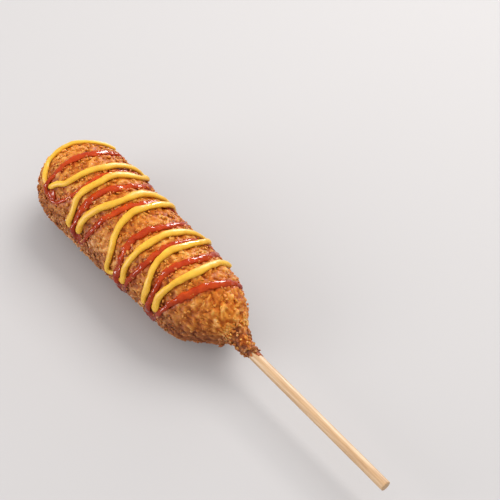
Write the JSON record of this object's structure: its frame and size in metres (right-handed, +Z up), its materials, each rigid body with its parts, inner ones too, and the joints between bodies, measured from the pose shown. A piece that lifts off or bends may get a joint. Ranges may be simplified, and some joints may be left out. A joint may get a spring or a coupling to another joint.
{
  "type": "corn dog",
  "caption": "Crumbed, deep-fried corn dog on a round wooden stick, lying on its side, with a zigzag drizzle of ketchup and mustard over the top.",
  "frame": {"origin": "on the small flat of the underside, on the floor it rests on, below the centre of mass", "axes": "+X along the body towards the free end of the stick, +Z up, +Y to the far side of the drizzle"},
  "size_m": [0.256, 0.052, 0.05],
  "materials": {
    "fried_crumb": "rough golden-brown fried breadcrumb, slightly oily",
    "pale_wood": "plain untreated pale wood, fine lengthwise grain",
    "ketchup": "wet glossy red sauce",
    "mustard": "smooth satin yellow sauce"
  },
  "bodies": {
    "root": {"crust": "fried_crumb", "stick": "pale_wood"}
  },
  "joints": []
}
